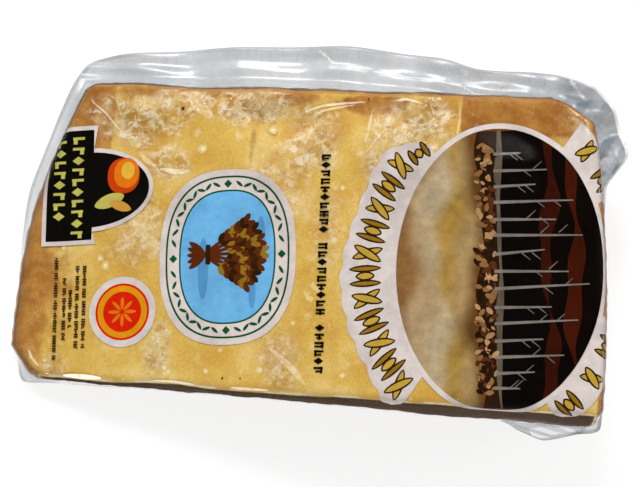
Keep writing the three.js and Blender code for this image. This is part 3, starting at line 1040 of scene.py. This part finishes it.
def make_tip_label(material):
    """A black label with two columns of olive marks and an orange fruit with two leaves."""
    sheet = Sheet("print_tip_label", -81, 18, spacing=0.8)
    sheet.ink(tag_outline(1.6), CREAM, 0)
    sheet.ink(tag_outline(0), BLACK, 1)
    for x, top, count in ((-14.6, 16.5, 8), (-7.4, 17.5, 10)):
        for row in range(count):
            y = top - row * 3.9
            if (row + count) % 3:
                sheet.ink(bar(x, y, 4.6, 1.0), OLIVE, 4)
                sheet.ink(bar(x + (row % 2 - 0.5) * 2.6, y - 0.9, 1.5, 2.4), OLIVE, 5)
            else:
                sheet.ink(diamond(x, y - 0.5, 4.6, 3.2), OLIVE, 4)
    sheet.ink(ellipse(10.5, 2.6, 6.2, 6.6, 2.3), DEEP_ORANGE, 2)
    sheet.ink(ellipse(11.6, 3.4, 4.8, 5.4, 2.2), ORANGE, 3)
    sheet.ink(ellipse(12.2, 4.4, 2.6, 3.2), YELLOW, 4)
    sheet.ink(leaf(5.2, -6.5, 12, 5.0, 0.3), OLIVE, 2)
    sheet.ink(leaf(9.5, -8.6, 9, 3.6, -0.35), linear(214, 158, 64), 3)
    return sheet.make(material)


# The columns of small ticks beside the tip: across and along where each has its middle, and its length
CAPTIONS = [(-5.0, 0.5, 37), (-1.6, 0.4, 22), (0.8, 0.4, 13), (3.4, 0.6, 30), (6.2, 0.5, 30)]


def make_captions(material):
    """Five short columns of small dark ticks beside the tip, in groups of three to eight."""
    sheet = Sheet("print_captions", -86.3, -28.5)
    for x, middle, length in CAPTIONS:
        place = middle + length / 2
        while place > middle - length / 2:
            for _ in range(RNG.integers(3, 9)):
                if place < middle - length / 2:
                    break
                height = 1.5 if RNG.random() < 0.8 else 0.9
                sheet.mark(bar(x, place, height, 0.5), INK_BROWN, 1)
                if RNG.random() < 0.5:
                    aside = RNG.choice((-0.55, 0.0, 0.55))
                    sheet.mark(bar(x + aside, place - 0.35, 0.35, 0.7), INK_BROWN, 2)
                place -= 0.92
            place -= 0.9
    return sheet.make(material)


def make_seal(material):
    """A round seal with an eight-leaved rosette."""
    sheet = Sheet("print_seal", -66, -28.1)
    for layer, (radius, colour) in enumerate([(12.8, CREAM), (10.3, RED), (9.5, SEAL_ORANGE), (7.3, RED)]):
        sheet.ink(ellipse(0, 0, radius, radius), colour, layer)
    for k in range(8):
        sheet.ink(turned(leaf(3.1, 0, 4.6, 1.3, 0), k * math.pi / 4, 0, 0), ORANGE, 4)
    return sheet.make(material)


# The emblem's ovals from the outside in: how much smaller each is, and its colour
EMBLEM_OVALS = [(0, CREAM), (2.3, GREEN), (3.0, CREAM), (7.4, GREEN), (8.0, SKY)]
EMBLEM_HALF = (25.5, 31.6)
EMBLEM_POWER = 2.5
EMBLEM_MARKS = 44


def add_sheaf(sheet, x, y):
    """A sheaf of corn that lies on its side: seven stalks with ears that spread from x, y, and a tie."""
    for k in range(7):
        tilt = (k - 3) * 0.2
        reach = 22 - 0.8 * abs(k - 3)
        sheet.ink(turned(bar(reach / 2, 0, reach, 1.2), tilt, x, y), BROWN, 6)
        for step in range(6):
            colour = (GOLD, BROWN, INK_BROWN, BROWN)[(step + k) % 4]
            for side in (-1, 1):
                ear = turned([(reach - 10.5 + step * 2.3, side * 1.15)], tilt, x, y)[0]
                sheet.mark(leaf(*ear, 3.8, 2.1, tilt + side * 0.4), colour, 7)
    for tilt in (-0.6, -0.3, 0.0, 0.3, 0.6):
        sheet.mark(leaf(x - 1.6 - math.cos(tilt), y - 5 * math.sin(tilt), 7, 2.2, tilt), BROWN, 8)
    sheet.ink(bar(x + 1.8, y, 1.8, 7), INK_BROWN, 9)


def make_emblem(material):
    """A sky-blue oval with a sheaf of corn, in a cream border between green lines."""
    sheet = Sheet("print_emblem", -30.3, -6)
    half_u, half_v = EMBLEM_HALF
    for layer, (inset, colour) in enumerate(EMBLEM_OVALS):
        sheet.ink(ellipse(0, 0, half_u - inset, half_v - inset, EMBLEM_POWER), colour, layer)
    ring = ellipse(0, 0, half_u - 5.2, half_v - 5.2, EMBLEM_POWER, EMBLEM_MARKS)
    for k, (x, y) in enumerate(ring):
        way = math.atan2(*(ring[(k + 1) % EMBLEM_MARKS] - ring[k - 1])[::-1])
        each = leaf(x, y, 3.2, 1.1, way + (0.6 if k % 2 else -0.6)) if k % 11 else diamond(x, y, 3.0, 3.0)
        sheet.mark(each, GREEN, 5)
    for x, y, length, width in ((-9, -4, 4.0, 22), (12.5, 7, 3.2, 14), (9.5, -14, 2.6, 10)):
        sheet.ink(ellipse(x, y, length / 2, width / 2), SKY_SHADE, 5)
    add_sheaf(sheet, -9, 1)
    return sheet.make(material)


RULE_MARKS = 27
RULE_GAPS = (10, 20)


def make_rule(material):
    """A dark line of small bars and diamonds across the face, with two gaps in it."""
    sheet = Sheet("print_rule", 3.4, -6, math.radians(3.6))
    for k in range(RULE_MARKS):
        y = 37.6 - k * 2.9
        if k in RULE_GAPS:
            continue
        if k % 4 == 1:
            sheet.mark(diamond(0, y, 3.6, 2.4), BLACK, 1)
        else:
            sheet.mark(bar(0, y + 0.5, 3.4, 0.7), BLACK, 1)
            sheet.mark(bar((k % 3 - 1) * 1.2, y - 0.2, 0.8, 2.2), BLACK, 2)
            sheet.mark(bar(0, y - 0.7, 3.4 if k % 2 else 2.0, 0.6), BLACK, 3)
    return sheet.make(material)


PICTURE_X, PICTURE_Y = 63.3, -5.0
PICTURE_HALF = (36.0, 49.3)
PICTURE_RIM = 1.9
# The picture's left is out of focus: where each of its soft bands starts, how far that waves, and its colour
SOFT_LANDS = [
    (-40, 0, (150, 108, 62)), (-31, 2.4, (182, 154, 114)), (-24, 3.4, (196, 174, 136)),
    (-19, 3.0, (176, 140, 66)), (-14, 2.4, (180, 149, 98)), (-9.5, 2.2, (110, 72, 32)),
]
SOFTNESS = 3.2
# The sharp bands right of them: the same three values
LANDS = [
    (-6.5, 1.2, (48, 28, 14)), (-0.5, 0.6, (104, 92, 74)), (1.2, 0.4, (14, 10, 8)),
    (15.5, 1.4, (58, 20, 9)), (19, 1.8, (15, 10, 7)), (24, 1.6, (70, 24, 10)), (28, 1.4, (16, 10, 8)),
]
HEDGE = [(150, 108, 64), (188, 146, 100), (92, 50, 24), (44, 24, 12)]
HEDGE_U = -4.2
# Pale trunks: how far across the picture each stands, and how high it reaches
TRUNKS = [
    (40, 8), (34, 17), (28.5, 13), (23, 26), (17, 20), (11.5, 29), (5, 16), (-1, 24), (-7, 31), (-13.5, 18),
    (-19, 27), (-25, 15), (-30.5, 22), (-36, 12), (-41, 7),
]


def wavy(start, wave, v, k):
    """Where band k of the picture starts at each place v along it."""
    return start + wave * (np.sin(v / 9 + k * 1.3) + 0.5 * np.sin(v / 3.7 + k * 2.1))


def soft_lands(flat):
    """Colours of wavy bands that melt into one another."""
    u, v = flat.T
    colours = np.zeros((len(flat), 4))
    for k, (start, wave, colour) in enumerate(SOFT_LANDS):
        share = smoothstep(u - wavy(start, wave, v, k), -SOFTNESS, SOFTNESS)[:, None] if k else 1
        colours = colours * (1 - share) + share * np.array(linear(*colour))
    return colours


def make_picture(material):
    """A tall oval landscape that lies on its side, as the print does, with its dark sky towards the heel."""
    sheet = Sheet("print_picture", PICTURE_X, PICTURE_Y, spacing=1.0)
    half_u, half_v = PICTURE_HALF
    v = np.linspace(-half_v, half_v, 110)[1:-1]
    limit = half_u * np.sqrt(1 - (v / half_v) ** 2)
    sheet.ink(ellipse(0, 0, half_u, half_v, steps=160), soft_lands, 3)
    for k, (start, wave, colour) in enumerate(LANDS):
        low = np.clip(wavy(start, wave, v, k), -limit, limit)
        kept = limit - low > 0.05
        outline = np.concatenate([np.stack([low, v], 1)[kept], np.stack([limit, v], 1)[kept][::-1]])
        sheet.ink(outline, linear(*colour), 4.5 + 0.5 * k)
    for across in np.arange(-43, 44, 0.5):
        size = RNG.uniform(1.6, 3.6)
        u = HEDGE_U + RNG.uniform(-3.4, 3.0)
        foliage = leaf(u, across, size, size * 0.55, RNG.uniform(0, math.pi))
        sheet.mark(foliage, linear(*HEDGE[RNG.integers(len(HEDGE))]), 9 + across % 0.4)
    for across, reach in TRUNKS:
        lean = RNG.uniform(-0.05, 0.05)
        trunk = [(-1.5, -0.6), (reach, -0.22), (reach, 0.22), (-1.5, 0.6)]
        sheet.ink(turned(trunk, lean, 0, across), linear(134, 126, 118), 9.6)
        for share in (0.5, 0.72):
            side = RNG.choice((-1, 1))
            twig = [(0, -0.22), (4.0, -0.12), (4.0, 0.12), (0, 0.22)]
            twig = turned(twig, side * 0.7, reach * share, across)
            sheet.mark(twig, linear(120, 112, 104), 9.4)
    return sheet.make(material)


# The outer edge of the cream band left of the picture, on the upper face
BAND_EDGE = [
    (36.5, 37.0), (33.2, 37.2), (25.0, 36.0), (20.0, 31.5), (16.1, 18.5), (11.6, 2), (10.3, -12.2),
    (15.0, -29.4), (23.6, -43.4), (28.6, -52.7), (32.0, -60.0),
]
LEAF_EDGE = 1.3
ORNAMENTS = 12
# How far along the band its first ornament is, and how far before its end the last one
BAND_START, BAND_END = 6.0, 7.0
SCALLOP = 1.1


def edged_leaf(sheet, x, y, length, width, turn, colour, layer):
    """A leaf with a dark outline."""
    sheet.ink(leaf(x, y, length, width, turn), INK_BROWN, layer)
    sheet.ink(leaf(x, y, length - LEAF_EDGE, width - LEAF_EDGE, turn), colour, layer + 1)


def ornament(sheet, x, y, length, face, kind):
    """One gold ornament with a dark outline: crossed leaves, or a lozenge between two strokes."""
    if kind % 2:
        for layer, tilt in ((1, 0.42), (3, -0.42)):
            edged_leaf(sheet, x, y, length, 3.4, face + tilt, GOLD_LIGHT, layer)
    else:
        for side in (-1, 1):
            stroke = turned([(0, side * 2.6)], face, x, y)[0]
            edged_leaf(sheet, *stroke, length, 2.6, face, GOLD, 1)
        edged_leaf(sheet, x, y, length * 0.6, 3.4, face, GOLD_LIGHT, 3)


def make_ornament_band(material):
    """Gold ornaments on a cream band beside the picture, and on two cream lobes at the heel."""
    sheet = Sheet("print_ornaments", PICTURE_X, PICTURE_Y, spacing=0.9)
    half_u, half_v = PICTURE_HALF
    outer = spread([sheet.own(x, y) for x, y in BAND_EDGE], 90)
    for _ in range(12):
        outer = eased(outer)
    inner = outer / np.hypot(outer[:, 0] / (half_u + 1), outer[:, 1] / (half_v + 1))[:, None]
    run = run_along(outer)
    places = np.linspace(BAND_START, run[-1] - BAND_END, ORNAMENTS)
    scallop = SCALLOP * np.abs(np.cos((run - BAND_START) / (places[1] - BAND_START) * math.pi))
    gap = outer - inner
    outer = outer + gap / np.linalg.norm(gap, axis=1, keepdims=True) * scallop[:, None]
    sheet.ink(np.concatenate([inner, outer[::-1]])[::-1], CREAM, 0)
    sheet.ink(ellipse(0, 0, half_u + PICTURE_RIM, half_v + PICTURE_RIM), CREAM, 1.5)
    for k, place in enumerate(places):
        rim, base = points_at(outer, run, place), points_at(inner, run, place)
        length = float(np.clip(np.linalg.norm(rim - base) * 0.66, 6.5, 11.5))
        ornament(sheet, *(base + (rim - base) * 0.52), length, math.atan2(*(rim - base)[::-1]), k)
    for start, end, turns in ((24, 53, (31, 44)), (-65, -20, (-57, -43, -30))):
        near, far = (ellipse(0, 0, half_u + out, half_v + out, steps=30, start=start, end=end)
                     for out in (1, 12.5))
        sheet.ink(np.concatenate([near, far[::-1]]), CREAM, 0)
        for k, turn in enumerate(turns):
            c, s = math.cos(math.radians(turn)), math.sin(math.radians(turn))
            face = math.atan2(s / (half_v + 7), c / (half_u + 7))
            ornament(sheet, (half_u + 7) * c, (half_v + 7) * s, 9.0, face, k)
    return sheet.make(material)


def make_grains(material):
    """Grains, specks and small pale flakes under the film."""
    sheet = Sheet("cheese_grains", 0, 0, 0.0)

    def add(x, y, radius, colour, layer, count):
        turn = np.arange(count) / count * 2 * math.pi
        far = radius * RNG.uniform(0.7, 1.15, count)
        blob = np.stack([x / math.cos(TAPER) + far * np.cos(turn), y + far * np.sin(turn)], 1)
        sheet.mark(blob, colour, layer)

    add(*PALE_SPOT, linear(224, 198, 132), -8, 20)
    for x, y, radius in CRYSTALS:
        add(x, y, 2.2 * radius, linear(224, 196, 124), -7, 14)
        add(x, y, radius, linear(238, 224, 182), -6, 12)
    for x, y, radius in SPECKS:
        add(x, y, radius, linear(112, 52, 24), -6, 7)
    placed = 0
    while placed < CRUMBS:
        x, y = RNG.uniform(-96, 92), RNG.uniform(-50, 54)
        if sample(CRUMB, np.array([x]), np.array([y]))[0] > RNG.uniform(0.35, 1.3):
            colour = (linear(244, 230, 194), linear(232, 210, 158))[placed % 2]
            add(x, y, RNG.uniform(0.2, 0.5), colour, -7, 6)
            placed += 1
    return sheet.make(material, "wrapped_cheese")


# Floor, light and camera, in metres

FLOOR_REACH = 3.0
FLOOR_LEVEL = -0.0002
# Each lamp's place, what it is aimed at, its two sides and its power
LAMPS = {
    "key": ((-0.25, 0.76, 0.94), (0, 0, 0.03), (0.5, 0.4), 13.3),
    "side": ((0.9, 0.1, 0.7), (0, 0, 0.03), (0.5, 0.5), 3),
    "front": ((0.1, -0.85, 0.7), (0, 0, 0.03), (0.6, 0.2), 3.8),
    "edge_glint": ((-0.59, -0.88, 0.27), (-0.088, -0.053, 0.014), (0.05, 0.05), 0.4),
}
CAMERA_PLACE = Vector((0.0, -0.11172, 0.760))
CAMERA_AIM = Vector((0.002, 0.0, 0.045))
CAMERA_ROLL = math.radians(5.75)
CAMERA_LENS = 116.67


def make_stage():
    mesh = bpy.data.meshes.new("floor")
    corners = bar(0, 0, 2 * FLOOR_REACH, 2 * FLOOR_REACH)
    mesh.from_pydata([(x, y, FLOOR_LEVEL) for x, y in corners], [], [(0, 1, 2, 3)])
    mesh.materials.append(floor_material())
    floor = add_object("floor", mesh)
    world = bpy.data.worlds.new("studio")
    world.use_nodes = True
    background = world.node_tree.nodes["Background"]
    background.inputs["Color"].default_value = (1.0, 0.98, 0.95, 1.0)
    background.inputs["Strength"].default_value = 0.2
    bpy.context.scene.world = world
    bpy.context.scene.view_settings.view_transform = "Standard"


def add_lamp(name, place, aim, sides, power):
    light = bpy.data.lights.new(name, "AREA")
    light.shape = "RECTANGLE"
    light.size, light.size_y = sides
    light.energy = power
    lamp = add_object(name, light)
    lamp.location = place
    lamp.rotation_euler = (Vector(aim) - Vector(place)).to_track_quat("-Z", "Y").to_euler()


def add_camera():
    """The camera, rolled about its line of sight as the one that took the photo was."""
    back = (CAMERA_PLACE - CAMERA_AIM).normalized()
    level = Vector((0, 1, 0)).cross(back).normalized()
    right = level * math.cos(CAMERA_ROLL) + back.cross(level) * math.sin(CAMERA_ROLL)
    turn = Matrix((right, back.cross(right), back)).transposed().to_4x4()
    camera = add_object("camera", bpy.data.cameras.new("camera"))
    camera.data.lens = CAMERA_LENS
    camera.matrix_world = Matrix.Translation(CAMERA_PLACE) @ turn
    bpy.context.scene.camera = camera


film = film_material()
ink = ink_material("print", 0.3)
make_cheese()
make_grains(ink_material("grains", 0.1))
make_margin(film)
make_wrap(film)
make_creases(glowing_crease_material())
for design in (make_tip_label, make_captions, make_seal, make_emblem, make_rule, make_ornament_band):
    design(ink)
make_picture(ink_material("picture", 0.5))
make_stage()
for name, settings in LAMPS.items():
    add_lamp(name, *settings)
add_camera()
